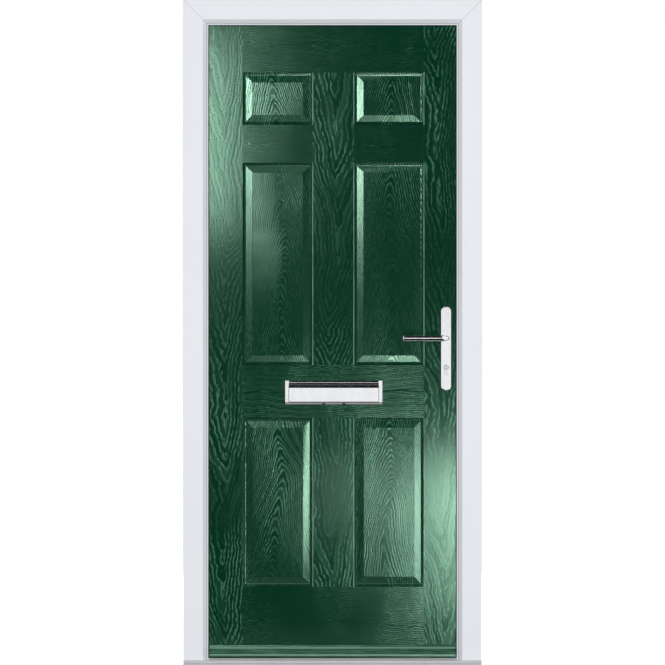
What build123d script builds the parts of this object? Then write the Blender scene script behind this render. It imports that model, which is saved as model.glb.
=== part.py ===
from build123d import *
import os

# A panelled front door in its frame. X runs to the right as seen from outside, Y into the house
# and Z up. The origin is the middle of the threshold's underside, in the plane of the frame's
# outside face. Sizes are in millimetres.

# Frame
overall_width = 940.0
overall_height = 2100.0
frame_depth = 70.0
face_width = 61.0
return_width = 11.5
return_depth = 14.0
lip_width = 5.5
lip_fall = 1.5
upstand_depth = 22.0
frame_wall = 2.8
web_wall = 2.5
steel_chamber_width = 37.0
steel_wall = 2.0
steel_clearance = 0.5
steel_end_space = 24.0
fixing_radius = 5.0
fixings_per_jamb = 4
jamb_fixing_end_space = 150.0
head_fixing_end_space = 170.0

# Seals
seal_space = 3.0
seal_touch_gap = 0.3
seal_stem_width = 3.6
seal_groove_width = 4.0
seal_groove_depth = 4.0
seal_stem_gap = 0.3
seal_width = 8.0
seal_taper = 1.0
seal_centre = 71.0

# Threshold
threshold_height = 20.0
threshold_nose = 8.0
threshold_nose_height = 8.5
threshold_drip_groove = 2.5
threshold_lip = 3.5
threshold_wall = 2.0
upstand_height = 25.0
upstand_width = 8.0
platform_height = 10.0
platform_end = 56.0
ramp_height = 5.0
threshold_seal_depth = 3.0
threshold_seal_rise = 2.0
end_block_gap = 0.4

# Leaf
leaf_thickness = 44.0
leaf_gap = 5.0
floor_gap = 4.0
skin_thickness = 2.0
stile_width = 50.0
rail_height = 75.0
lock_block_width = 60.0
lock_block_height = 300.0

# Moulded panels: the rails and the upper panels keep their size, the others share the rest
stile_face = 118.0
mullion_width = 130.0
panel_shift = 2.5
bottom_rail_face = 236.0
lock_rail_face = 167.0
upper_rail_face = 120.0
upper_panel_height = 165.0
top_rail_face = 161.0
middle_panel_ratio = 1.2
quirk_width = 3.0
quirk_depth = 4.0
ogee_width = 8.0
ogee_depth = 7.0
trough_width = 10.0
trough_depth = 8.0
bevel_width = 20.0
bevel_top_depth = 2.0
field_step = 1.0

# Weatherbar
weatherbar_bottom = 26.0
weatherbar_height = 41.0
weatherbar_reach = 28.0
weatherbar_end_gap = 4.0

# Hinges
lower_hinge_rise = 236.0
upper_hinge_drop = 204.0
middle_hinge_shift = 50.0
hinge_length = 100.0
hinge_leaf_length = 40.0
hinge_axis_inset = 1.0
hinge_axis_height = 10.0
barrel_radius = 9.0
hinge_pin_radius = 6.0
pin_clearance = 0.05
knuckle_gap = 0.3
flag_thickness = 6.0
frame_flag_width = 44.0
leaf_flag_width = 84.0
leaf_flag_height = 62.0
flag_corner = 5.0
flag_inset = 10.0
pin_cap_height = 3.0
pin_cap_round = 2.0
frame_screw_spacing = 36.0
frame_screw_stagger = 8.0
leaf_screw_places = ((14.0, -20.0), (14.0, 20.0), (34.0, 0.0))

# Screws: the radii of head, shank and tip, and the length of the point
wood_screw = (4.2, 2.1, 0.5, 2.0)
machine_screw = (4.5, 2.5, 2.0, 0.5)
screw_length = 26.0
keep_screw_length = 17.0
screw_spare = 2.0

# Lock
backset = 45.5
spindle_height = 1034.0
cylinder_drop = 92.0
faceplate_width = 20.0
faceplate_thickness = 2.5
faceplate_end_space = 135.0
faceplate_screw_inset = 22.0
rail_width = 16.0
rail_thickness = 2.5
rail_end_space = 90.0
rail_travel = 18.0
sliding_gap = 0.5
case_thickness = 15.0
case_wall = 1.5
case_depth = 58.0
case_below_spindle = 129.0
case_above_spindle = 66.0
bolt_thickness = 11.0
bolt_gap = 0.3
latch_rise = 36.0
latch_height = 20.0
latch_throw = 12.0
latch_guide = 17.0
latch_nose = 2.5
latch_tail = (3.0, 22.0)
deadbolt_drop = 44.0
deadbolt_height = 25.0
deadbolt_throw = 20.0
deadbolt_guide = 12.0
deadbolt_round = 1.5
deadbolt_tail = (20.0, 4.0, 10.0)
hook_end_space = 280.0
hook_pivot_depth = 15.0
hook_hub_radius = 7.0
hook_pivot_radius = 3.0
hook_reach = 28.0
hook_width = 12.0
hook_claw = 14.0
hook_claw_height = 5.0
hook_throat = 10.0
hook_case_depth = 32.0
hook_case_below = 20.0
hook_case_above = 42.0
keep_thickness = 2.0
keep_width = 30.0
keep_margin = 30.0
keep_corner = 4.0
keep_lip = 1.2
keep_pocket_depth = 15.5
bolt_window_margin = 2.5
hook_window_below = 10.0
hook_window_above = 2.0

# Cylinder
cylinder_radius = 8.5
cylinder_tail_width = 10.0
cylinder_tail_drop = 24.5
cylinder_proud = 3.0
cylinder_clearance = 0.4
plug_radius = 6.5
cam_width = 9.6
cam_slot_width = 10.2
cam_reach = 15.0
keyway_width = 1.8
keyway_height = 9.0
keyway_depth = 18.0
cylinder_screw_drop = 20.0

# Handle
plate_drop = 33.0
plate_length = 267.0
plate_width = 33.0
plate_depth = 10.0
plate_rim = 3.5
plate_wall = 2.5
handle_bolt_grip = 6.0
lever_radius = 9.3
lever_length = 137.0
lever_stand_off = 48.0
lever_bend_radius = 15.0
lever_tip_round = 3.0
lever_collar_radius = 11.5
lever_collar_depth = 4.0
lever_journal_radius = 8.0
spindle_size = 8.0
spindle_entry = 24.0
follower_radius = 13.0
follower_journal_radius = 9.7
follower_arm_width = 8.0
follower_arm_reach = 19.0

# Letterplate
letterplate_x = 4.0
letterplate_drop = 3.0
letterplate_width = 307.0
letterplate_rise = 77.5
letterplate_depth = 11.0
letterplate_corner = 2.0
letterplate_rim = 1.5
letterplate_side = 12.0
letterplate_bottom_bar = 8.5
letterplate_roll = 15.0
flap_height = 45.0
flap_thickness = 3.0
flap_set_back = 1.0
flap_gap = 0.4
flap_back_gap = 0.3
flap_roll_gap = 1.0
flap_axis_depth = 4.0
flap_barrel_radius = 3.5
flap_pin_radius = 1.5
slot_width = 260.0
slot_height = 34.0
slot_rise = 5.0
letterplate_bolt_grip = 5.0
sleeve_wall = 1.5
sleeve_space = 0.5
notch_spacing = 63.0
notch_width = 12.6

# Places worked out from the sizes
half_width = overall_width / 2
sight_width = face_width + return_width + lip_width
rebate_x = half_width - face_width
opening_x = half_width - sight_width
leaf_x = rebate_x - leaf_gap
leaf_front = upstand_depth + seal_space
leaf_back = leaf_front + leaf_thickness
leaf_middle = (leaf_front + leaf_back) / 2
leaf_bottom = platform_height + floor_gap
leaf_top = overall_height - face_width - leaf_gap
core_front = leaf_front + skin_thickness
core_back = leaf_back - skin_thickness
stile_x = leaf_x - stile_width
spindle_x = leaf_x - backset
faceplate_inner_x = leaf_x - faceplate_thickness
rail_outer_x = faceplate_inner_x - sliding_gap
rail_inner_x = rail_outer_x - rail_thickness
case_x = rail_inner_x - sliding_gap

lower_panel_bottom = leaf_bottom + bottom_rail_face
upper_panel_bottom = leaf_top - top_rail_face - upper_panel_height
tall_panels = upper_panel_bottom - upper_rail_face - lower_panel_bottom - lock_rail_face
lower_panel_height = tall_panels / (1 + middle_panel_ratio)
lock_rail_bottom = lower_panel_bottom + lower_panel_height
middle_panel_bottom = lock_rail_bottom + lock_rail_face
panel_rows = (
    (lower_panel_bottom, lower_panel_height),
    (middle_panel_bottom, tall_panels - lower_panel_height),
    (upper_panel_bottom, upper_panel_height),
)
panel_width = leaf_x - stile_face - mullion_width / 2
panel_columns = tuple(
    panel_shift + side * (mullion_width + panel_width) / 2 for side in (-1, 1)
)
letterplate_centre = lock_rail_bottom + lock_rail_face / 2 - letterplate_drop

lower_hinge_height = leaf_bottom + lower_hinge_rise
upper_hinge_height = leaf_top - upper_hinge_drop
middle_hinge_height = (lower_hinge_height + upper_hinge_height) / 2 + middle_hinge_shift
hinge_heights = (lower_hinge_height, middle_hinge_height, upper_hinge_height)

plate_centre_height = spindle_height - plate_drop
cylinder_height = spindle_height - cylinder_drop
cylinder_screw_height = cylinder_height - cylinder_screw_drop
case_bottom = spindle_height - case_below_spindle
case_top = spindle_height + case_above_spindle
latch_centre = spindle_height + latch_rise
deadbolt_centre = spindle_height - deadbolt_drop
latch_span = (latch_centre - latch_height / 2, latch_centre + latch_height / 2)
deadbolt_span = (deadbolt_centre - deadbolt_height / 2, deadbolt_centre + deadbolt_height / 2)
faceplate_bottom = leaf_bottom + faceplate_end_space
faceplate_top = leaf_top - faceplate_end_space
hook_heights = (faceplate_bottom + hook_end_space, faceplate_top - hook_end_space)
rail_bottom = hook_heights[0] - rail_end_space
rail_top = hook_heights[1] + rail_end_space
faceplate_screw_heights = (
    faceplate_bottom + faceplate_screw_inset,
    rail_bottom - faceplate_screw_inset,
    (hook_heights[0] + case_bottom) / 2,
    (hook_heights[1] + case_top) / 2,
    rail_top + rail_travel + faceplate_screw_inset,
    faceplate_top - faceplate_screw_inset,
)

trough_profile = (
    (0.0, 0.0),
    (quirk_width, quirk_depth),
    (ogee_width, ogee_depth),
    (trough_width, trough_depth),
)
field_inset = trough_width + bevel_width
field_profile = (
    (trough_width, trough_depth),
    (field_inset, bevel_top_depth),
    (field_inset + field_step, bevel_top_depth - field_step),
)

# Planes that a length of frame is drawn on: x runs from the outer edge towards the doorway,
# y into the house, and z along the length.
hinge_side = Plane(origin=(-half_width, 0, threshold_height), x_dir=(1, 0, 0), z_dir=(0, 0, 1))
lock_side = Plane(origin=(half_width, 0, overall_height), x_dir=(-1, 0, 0), z_dir=(0, 0, -1))
head_side = Plane(origin=(-half_width, 0, overall_height), x_dir=(0, 0, -1), z_dir=(1, 0, 0))
left_mitre = Plane(origin=(-half_width, 0, overall_height), z_dir=(1, 0, 1))
right_mitre = Plane(origin=(half_width, 0, overall_height), z_dir=(-1, 0, 1))
jamb_length = overall_height - threshold_height


def upright(y):
    """A plane facing the street at this depth, with x across and y up the door."""
    return Plane.XZ.offset(-y)


def block(low, high, mode=Mode.ADD):
    """A rectangular block between two opposite corners."""
    middle = tuple((a + b) / 2 for a, b in zip(low, high))
    with Locations(middle):
        Box(*[b - a for a, b in zip(low, high)], mode=mode)


def outline(points, radii=0.0):
    """A closed outline with rounded corners, as a face."""
    with BuildLine() as edge:
        FilletPolyline(*points, radius=radii, close=True)
    make_face(edge.edges())


def mitred_lengths(draw):
    """The hinge jamb, lock jamb and head of one section, mitred at the top corners."""
    lengths = []
    for plane, reach in ((hinge_side, jamb_length), (lock_side, jamb_length), (head_side, overall_width)):
        with BuildPart() as length:
            with BuildSketch(plane):
                draw()
            extrude(amount=reach)
            if plane is hinge_side:
                split(bisect_by=left_mitre, keep=Keep.BOTTOM)
            elif plane is lock_side:
                split(bisect_by=right_mitre, keep=Keep.BOTTOM)
            else:
                split(bisect_by=left_mitre, keep=Keep.TOP)
                split(bisect_by=right_mitre, keep=Keep.TOP)
        lengths.append(length.part)
    return lengths


def countersunk(places, direction, length=screw_length, sizes=wood_screw):
    """Countersunk screws whose flush heads lie at these places and that point along direction."""
    head, shank, tip, point = sizes
    with BuildPart() as screw:
        with BuildSketch(Plane.XZ):
            outline([
                (0, 0), (head, 0), (shank, shank - head), (shank, point - length), (tip, -length),
                (0, -length),
            ])
        revolve(axis=Axis.Z)
    seats = [Plane(origin=place, z_dir=[-part for part in direction]) for place in places]
    with BuildPart() as screws:
        with Locations(*[seat.location for seat in seats]):
            add(screw.part)
    return screws.part


def save(name, label):
    name.part.label = label
    export_step(name.part, "parts/" + label + ".step")


os.makedirs("parts", exist_ok=True)


# Frame: hollow profile, steel inside it, and the fixing holes through both
steel_side = frame_wall + steel_chamber_width
side_chamber = steel_side + web_wall
chamber_back = frame_depth - frame_wall
chamber_middle = (upstand_depth + chamber_back) / 2
fixing_y = (upstand_depth + frame_depth) / 2
lip_depth = return_depth + lip_fall


def draw_frame_section():
    """The frame's section, with its three chambers and the groove for the seal."""
    slope = return_depth / return_width
    chamber_corner = face_width - frame_wall / 2
    chamber_end = seal_centre - seal_groove_width / 2 - web_wall
    outline(
        [
            (0, 0), (face_width, 0), (face_width + return_width, return_depth),
            (sight_width, lip_depth), (sight_width, upstand_depth), (face_width, upstand_depth),
            (face_width, frame_depth), (0, frame_depth),
        ],
        [1.5, 2.5, 1.0, 1.0, 0.5, 0, 0.5, 1.0],
    )
    Polygon(
        (frame_wall, frame_wall),
        (chamber_corner, frame_wall),
        (chamber_end, frame_wall + (chamber_end - chamber_corner) * slope),
        (chamber_end, upstand_depth - frame_wall),
        (frame_wall, upstand_depth - frame_wall),
        align=None,
        mode=Mode.SUBTRACT,
    )
    for low, high in ((frame_wall, steel_side), (side_chamber, face_width - frame_wall)):
        with Locations(((low + high) / 2, chamber_middle)):
            Rectangle(high - low, chamber_back - upstand_depth, mode=Mode.SUBTRACT)
    with Locations((seal_centre, upstand_depth - seal_groove_depth / 2)):
        Rectangle(seal_groove_width, seal_groove_depth, mode=Mode.SUBTRACT)


def draw_steel_section():
    """A box section that slides into the main chamber."""
    width = steel_chamber_width - 2 * steel_clearance
    depth = chamber_back - upstand_depth - 2 * steel_clearance
    with Locations((frame_wall + steel_chamber_width / 2, chamber_middle)):
        Rectangle(width, depth)
        Rectangle(width - 2 * steel_wall, depth - 2 * steel_wall, mode=Mode.SUBTRACT)


def draw_seal_section():
    """A stem in the groove and a soft head that the leaf closes on."""
    stem_end = upstand_depth - seal_groove_depth + seal_stem_gap
    head_end = leaf_front - seal_touch_gap
    stem_half = seal_stem_width / 2
    head_half = seal_width / 2
    outline(
        [
            (seal_centre - stem_half, stem_end), (seal_centre + stem_half, stem_end),
            (seal_centre + stem_half, upstand_depth), (seal_centre + head_half, upstand_depth),
            (seal_centre + head_half - seal_taper, head_end),
            (seal_centre - head_half + seal_taper, head_end),
            (seal_centre - head_half, upstand_depth), (seal_centre - stem_half, upstand_depth),
        ],
        [0, 0, 0, 0.3, 1.0, 1.0, 0.3, 0],
    )


def cut_side_holes(outer_x):
    """The fixing holes through one jamb, from the side at outer_x across the profile."""
    first, last = jamb_fixing_end_space, overall_height - jamb_fixing_end_space
    with BuildSketch(Plane.YZ.offset(outer_x)) as holes:
        with Locations((fixing_y, (first + last) / 2)):
            with GridLocations(0, (last - first) / (fixings_per_jamb - 1), 1, fixings_per_jamb):
                Circle(fixing_radius)
    extrude(holes.sketch, amount=face_width, mode=Mode.SUBTRACT)


def cut_head_holes():
    """The fixing holes up through the head."""
    with BuildSketch(Plane.XY.offset(overall_height - face_width)) as holes:
        reach = half_width - head_fixing_end_space
        with Locations((-reach, fixing_y), (reach, fixing_y)):
            Circle(fixing_radius)
    extrude(holes.sketch, amount=face_width, mode=Mode.SUBTRACT)


# Hinges: the frame's half turns on a pin between two knuckles, the leaf's half on the middle one
hinge_x = -(rebate_x + hinge_axis_inset)
hinge_y = frame_depth + hinge_axis_height
frame_flag_x = hinge_x - barrel_radius - hinge_axis_inset
leaf_flag_x = hinge_x + barrel_radius + hinge_axis_inset
frame_screw_x = frame_flag_x - frame_flag_width / 2
frame_hinge_screws = countersunk(
    [
        (
            frame_screw_x + side * frame_screw_stagger,
            frame_depth + flag_thickness,
            height + side * frame_screw_spacing,
        )
        for height in hinge_heights
        for side in (-1, 0, 1)
    ],
    (0, -1, 0),
)
leaf_hinge_screws = countersunk(
    [
        (leaf_flag_x + along, leaf_back + flag_thickness, height + rise)
        for height in hinge_heights
        for along, rise in leaf_screw_places
    ],
    (0, -1, 0),
)


# Keeps: a plate on the rebate of the lock jamb for each bolt pocket
latch_window = (latch_span[0] - bolt_window_margin, latch_span[1] + bolt_window_margin)
deadbolt_window = (deadbolt_span[0] - bolt_window_margin, deadbolt_span[1] + bolt_window_margin)
hook_windows = [
    (height - hook_window_below, height + hook_reach + hook_window_above) for height in hook_heights
]
keep_x = rebate_x - keep_thickness
keeps = {
    "centre_keep": [deadbolt_window, latch_window],
    "lower_hook_keep": [hook_windows[0]],
    "upper_hook_keep": [hook_windows[1]],
}


def draw_windows(windows, width, spare=0.0):
    """Upright windows about the middle of the leaf's edge."""
    for low, high in windows:
        with Locations((leaf_middle, (low + high) / 2)):
            Rectangle(width + 2 * spare, high - low + 2 * spare, mode=Mode.SUBTRACT)


def keep_screw_places(windows):
    """One screw below the windows, one above, and one between two windows."""
    low, high = windows[0][0], windows[-1][1]
    heights = [low - keep_margin / 2, high + keep_margin / 2]
    heights += [(a[1] + b[0]) / 2 for a, b in zip(windows, windows[1:])]
    return [(keep_x, leaf_middle, height) for height in heights]


keep_screws = countersunk(
    [place for windows in keeps.values() for place in keep_screw_places(windows)],
    (1, 0, 0),
    keep_screw_length,
)

hinge_length_part, lock_length_part, head_length_part = mitred_lengths(draw_frame_section)

with BuildPart() as hinge_jamb:
    add(hinge_length_part)
    cut_side_holes(-half_width)
    add(frame_hinge_screws, mode=Mode.SUBTRACT)
save(hinge_jamb, "hinge_jamb")

with BuildPart() as lock_jamb:
    add(lock_length_part)
    cut_side_holes(rebate_x)
    for windows in keeps.values():
        for low, high in windows:
            block(
                (rebate_x - 1, leaf_middle - keep_pocket_depth / 2 - keep_lip, low - keep_lip),
                (rebate_x + frame_wall, leaf_middle + keep_pocket_depth / 2 + keep_lip, high + keep_lip),
                Mode.SUBTRACT,
            )
    add(keep_screws, mode=Mode.SUBTRACT)
save(lock_jamb, "lock_jamb")

with BuildPart() as frame_head:
    add(head_length_part)
    cut_head_holes()
save(frame_head, "frame_head")

for label, windows in keeps.items():
    low, high = windows[0][0] - keep_margin, windows[-1][1] + keep_margin
    with BuildPart() as keep:
        with BuildSketch(Plane.YZ.offset(keep_x)):
            with Locations((leaf_middle, (low + high) / 2)):
                RectangleRounded(keep_width, high - low, keep_corner)
        extrude(amount=keep_thickness)
        for bottom, top in windows:
            with BuildSketch(Plane.YZ.offset(keep_x)):
                with Locations((leaf_middle, (bottom + top) / 2)):
                    Rectangle(keep_pocket_depth + 2 * keep_lip, top - bottom + 2 * keep_lip)
            extrude(amount=keep_thickness + frame_wall)
            with BuildSketch(Plane.YZ.offset(keep_x)):
                with Locations((leaf_middle, (bottom + top) / 2)):
                    Rectangle(keep_pocket_depth, top - bottom)
            extrude(amount=keep_thickness + frame_wall, mode=Mode.SUBTRACT)
        add(keep_screws, mode=Mode.SUBTRACT)
    save(keep, label)

with BuildPart() as frame_screws:
    add(frame_hinge_screws)
    add(keep_screws)
save(frame_screws, "frame_screws")

# Steel in the three lengths of frame, cut square and short of the mitres
steel_bottom = threshold_height + steel_end_space
steel_end = steel_side + steel_end_space
for label, plane, side in (
    ("hinge_jamb_reinforcement", hinge_side, -1),
    ("lock_jamb_reinforcement", hinge_side, 1),
):
    with BuildPart() as steel:
        with BuildSketch(plane.offset(steel_end_space)):
            draw_steel_section()
        extrude(amount=overall_height - steel_end - steel_bottom)
        cut_side_holes(-half_width)
        if side < 0:
            add(frame_hinge_screws, mode=Mode.SUBTRACT)
        else:
            mirror(about=Plane.YZ, mode=Mode.REPLACE)
    save(steel, label)

with BuildPart() as head_reinforcement:
    with BuildSketch(head_side.offset(steel_end)):
        draw_steel_section()
    extrude(amount=overall_width - 2 * steel_end)
    cut_head_holes()
save(head_reinforcement, "head_reinforcement")

# The frame seal runs up one jamb, along the head and down the other
with BuildPart() as frame_seal:
    for length in mitred_lengths(draw_seal_section):
        add(length)
save(frame_seal, "frame_seal")


# Threshold: a hollow aluminium section with its upstand cut away under the jambs
drip_groove_top = threshold_nose_height + threshold_drip_groove
upstand_front = upstand_depth - upstand_width
seal_groove_height = (platform_height + upstand_height) / 2 + threshold_seal_rise

with BuildPart() as threshold:
    with BuildSketch(Plane.YZ.offset(-half_width)):
        outline(
            [
                (-threshold_nose, 0), (-threshold_nose, threshold_nose_height), (0, threshold_nose_height),
                (0, drip_groove_top), (-threshold_lip, drip_groove_top), (-threshold_lip, threshold_height),
                (upstand_front, threshold_height), (upstand_front + 1.5, upstand_height),
                (upstand_depth, upstand_height), (upstand_depth, platform_height),
                (platform_end, platform_height), (frame_depth, ramp_height), (frame_depth, 0),
            ],
            [0, 2.0, 0, 0, 0.5, 2.0, 0, 1.0, 1.0, 0, 0, 1.0, 0],
        )
        front_chamber_end = upstand_depth - threshold_seal_depth - web_wall
        with Locations(((threshold_wall + front_chamber_end) / 2, threshold_height / 2)):
            Rectangle(
                front_chamber_end - threshold_wall,
                threshold_height - 2 * threshold_wall,
                mode=Mode.SUBTRACT,
            )
        with Locations(((upstand_depth + web_wall + platform_end) / 2, platform_height / 2)):
            Rectangle(
                platform_end - upstand_depth - web_wall,
                platform_height - 2 * threshold_wall,
                mode=Mode.SUBTRACT,
            )
        with Locations((upstand_depth - threshold_seal_depth / 2, seal_groove_height)):
            Rectangle(threshold_seal_depth, seal_groove_width, mode=Mode.SUBTRACT)
    extrude(amount=overall_width)
    for side in (-1, 1):
        inner, outer = sorted((side * opening_x, side * half_width))
        block(
            (inner, upstand_front - 1, threshold_height),
            (outer, upstand_depth + 1, upstand_height + 1),
            Mode.SUBTRACT,
        )
save(threshold, "threshold")

with BuildPart() as threshold_end_blocks:
    for start in (-half_width, rebate_x):
        with BuildSketch(Plane.YZ.offset(start)):
            Polygon(
                (upstand_depth, platform_height),
                (platform_end, platform_height),
                (frame_depth, ramp_height + end_block_gap),
                (frame_depth, threshold_height),
                (upstand_depth, threshold_height),
                align=None,
            )
        extrude(amount=face_width)
save(threshold_end_blocks, "threshold_end_blocks")

with BuildPart() as threshold_seal:
    with BuildSketch(Plane.YZ.offset(-opening_x)):
        stem_end = upstand_depth - threshold_seal_depth + seal_stem_gap
        head_end = leaf_front - seal_touch_gap
        stem_half = seal_stem_width / 2
        head_half = seal_width / 2 - seal_taper
        outline(
            [
                (stem_end, seal_groove_height - stem_half),
                (upstand_depth, seal_groove_height - stem_half),
                (upstand_depth, seal_groove_height - head_half),
                (head_end, seal_groove_height - head_half + seal_taper),
                (head_end, seal_groove_height + head_half - seal_taper),
                (upstand_depth, seal_groove_height + head_half),
                (upstand_depth, seal_groove_height + stem_half),
                (stem_end, seal_groove_height + stem_half),
            ],
            [0, 0, 0.3, 0.8, 0.8, 0.3, 0, 0],
        )
    extrude(amount=2 * opening_x)
save(threshold_seal, "threshold_seal")

# Hinges
with BuildPart() as hinge_pins:
    half = hinge_length / 2
    for height in hinge_heights:
        with BuildSketch(Plane.XZ.offset(-hinge_y)):
            outline(
                [
                    (hinge_x, height - half - pin_cap_height),
                    (hinge_x + barrel_radius, height - half - pin_cap_height),
                    (hinge_x + barrel_radius, height - half),
                    (hinge_x + hinge_pin_radius, height - half),
                    (hinge_x + hinge_pin_radius, height + half),
                    (hinge_x + barrel_radius, height + half),
                    (hinge_x + barrel_radius, height + half + pin_cap_height),
                    (hinge_x, height + half + pin_cap_height),
                ],
                [0, pin_cap_round, 0, 0, 0, 0, pin_cap_round, 0],
            )
        revolve(axis=Axis((hinge_x, hinge_y, 0), (0, 0, 1)))
save(hinge_pins, "hinge_pins")

hinge_names = ("lower", "middle", "upper")
knuckle_half = hinge_leaf_length / 2
shoulder = barrel_radius * 0.5**0.5
for name, height in zip(hinge_names, hinge_heights):
    with BuildPart() as frame_flag:
        with BuildSketch(Plane.XZ.offset(-frame_depth)):
            with Locations((frame_screw_x, height)):
                RectangleRounded(frame_flag_width, hinge_length, flag_corner)
        extrude(amount=-flag_thickness)
        for low, high in ((-hinge_length / 2, -knuckle_half), (knuckle_half, hinge_length / 2)):
            with BuildSketch(Plane.XY.offset(height + low)):
                with Locations((hinge_x, hinge_y)):
                    Circle(barrel_radius)
                Polygon(
                    (frame_flag_x - flag_inset, frame_depth),
                    (hinge_x - hinge_axis_inset, frame_depth),
                    (hinge_x, hinge_y),
                    (hinge_x - shoulder, hinge_y + shoulder),
                    (frame_flag_x - flag_inset, frame_depth + flag_thickness),
                    align=None,
                )
            extrude(amount=high - low)
        with Locations((hinge_x, hinge_y, height)):
            Cylinder(hinge_pin_radius, hinge_length, mode=Mode.SUBTRACT)
        add(frame_hinge_screws, mode=Mode.SUBTRACT)
    save(frame_flag, name + "_hinge_frame_flag")

    with BuildPart() as leaf_flag:
        with BuildSketch(Plane.XZ.offset(-leaf_back)):
            with Locations((leaf_flag_x + leaf_flag_width / 2, height)):
                RectangleRounded(leaf_flag_width, leaf_flag_height, flag_corner)
        extrude(amount=-flag_thickness)
        with BuildSketch(Plane.XY.offset(height - knuckle_half + knuckle_gap)):
            with Locations((hinge_x, hinge_y)):
                Circle(barrel_radius)
            Polygon(
                (leaf_flag_x + flag_inset, leaf_back),
                (-leaf_x, leaf_back),
                (hinge_x, hinge_y),
                (hinge_x + shoulder, hinge_y + shoulder),
                (leaf_flag_x + flag_inset, leaf_back + flag_thickness),
                align=None,
            )
        extrude(amount=hinge_leaf_length - 2 * knuckle_gap)
        with Locations((hinge_x, hinge_y, height)):
            Cylinder(hinge_pin_radius + pin_clearance, hinge_length, mode=Mode.SUBTRACT)
        add(leaf_hinge_screws, mode=Mode.SUBTRACT)
    save(leaf_flag, name + "_hinge_leaf_flag")


# Lock: where its pieces pass the edge of the leaf
case_low_y = leaf_middle - case_thickness / 2
case_high_y = leaf_middle + case_thickness / 2
inner_low_y = case_low_y + case_wall
inner_high_y = case_high_y - case_wall
bolt_low_y = leaf_middle - bolt_thickness / 2
bolt_high_y = leaf_middle + bolt_thickness / 2
bolt_nose_x = leaf_x - bolt_gap
hook_x = leaf_x - hook_pivot_depth
hook_sweep = (hook_reach**2 + hook_claw**2) ** 0.5
hook_spans = [(height - hook_width / 2 - 1, height + hook_sweep - 1) for height in hook_heights]
bolt_spans = [hook_spans[0], deadbolt_span, latch_span, hook_spans[1]]
plate_ends = (
    plate_centre_height - (plate_length - plate_width) / 2,
    plate_centre_height + (plate_length - plate_width) / 2,
)

faceplate_screws = countersunk(
    [(leaf_x, leaf_middle, height) for height in faceplate_screw_heights], (-1, 0, 0)
)


cylinder_bolt = countersunk(
    [(leaf_x, leaf_middle, cylinder_screw_height)], (-1, 0, 0), backset + screw_spare, machine_screw
)
handle_bolts = countersunk(
    [(spindle_x, leaf_back + plate_depth, height) for height in plate_ends],
    (0, -1, 0),
    leaf_thickness + plate_depth + handle_bolt_grip,
    machine_screw,
)


def draw_cylinder(spare=0.0, mode=Mode.ADD):
    """The keyhole-shaped section of the cylinder, grown by a clearance."""
    tail_radius = cylinder_tail_width / 2
    tail_end = cylinder_height - cylinder_tail_drop + tail_radius
    with Locations((spindle_x, cylinder_height)):
        Circle(cylinder_radius + spare, mode=mode)
    with Locations((spindle_x, tail_end)):
        Circle(tail_radius + spare, mode=mode)
    with Locations((spindle_x, (cylinder_height + tail_end) / 2)):
        Rectangle(2 * (tail_radius + spare), cylinder_height - tail_end, mode=mode)


def cut_handle_holes(face, depth, spare=1.0):
    """The holes for the spindle and the cylinder, from this face through a sheet."""
    with BuildSketch(upright(face)) as holes:
        with Locations((spindle_x, spindle_height)):
            Circle(lever_journal_radius + 2.0)
        draw_cylinder(spare)
    extrude(holes.sketch, amount=-depth, mode=Mode.SUBTRACT)


# Letterplate: its places on the door
letterplate_bottom = letterplate_centre - letterplate_rise / 2
letterplate_top = letterplate_centre + letterplate_rise / 2
pocket_half = letterplate_width / 2 - letterplate_side
pocket_bottom = letterplate_bottom + letterplate_bottom_bar
roll_radius = letterplate_roll / 2
roll_height = letterplate_top - roll_radius
flap_bottom = pocket_bottom + flap_gap
flap_top = pocket_bottom + flap_height
flap_axis_height = roll_height - roll_radius - flap_roll_gap - flap_barrel_radius
slot_middle = flap_bottom + slot_rise + slot_height / 2
letter_front = leaf_front - letterplate_depth
flap_axis_y = leaf_front - flap_axis_depth
letter_bolt_x = letterplate_width / 2 - letterplate_side / 2
letter_bolts = countersunk(
    [
        (letterplate_x + side * letter_bolt_x, leaf_back + letterplate_depth, slot_middle)
        for side in (-1, 1)
    ],
    (0, -1, 0),
    leaf_thickness + letterplate_depth + letterplate_bolt_grip,
)


def cut_letter_slot(face, depth, spare):
    """The letter slot through a sheet, larger than the clear slot by a margin all round."""
    with BuildSketch(upright(face)) as slot:
        with Locations((letterplate_x, slot_middle)):
            Rectangle(slot_width + 2 * spare, slot_height + 2 * spare)
    extrude(slot.sketch, amount=-depth, mode=Mode.SUBTRACT)


# Leaf: skins moulded with six raised panels, over a foamed core in a timber frame
def panel_hollows(face):
    """The six recesses moulded below a face at this depth, each with its raised field left."""
    with BuildPart() as hollows:
        for profile, mode in ((trough_profile, Mode.ADD), (field_profile, Mode.SUBTRACT)):
            for x in panel_columns:
                for bottom, height in panel_rows:
                    for step in zip(profile, profile[1:]):
                        for inset, depth in step:
                            with BuildSketch(upright(face + depth)):
                                with Locations((x, bottom + height / 2)):
                                    Rectangle(panel_width - 2 * inset, height - 2 * inset)
                        loft(ruled=True, mode=mode)
    return hollows.part


middle_plane = Plane.XZ.offset(-leaf_middle)
skin_hollows = panel_hollows(leaf_front)
core_hollows = panel_hollows(core_front)
skin_depth = skin_thickness + trough_depth

with BuildPart() as skin_backing:
    block((-leaf_x - 1, core_front, leaf_bottom - 1), (leaf_x + 1, core_front + skin_depth, leaf_top + 1))
    add(core_hollows, mode=Mode.SUBTRACT)

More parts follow.
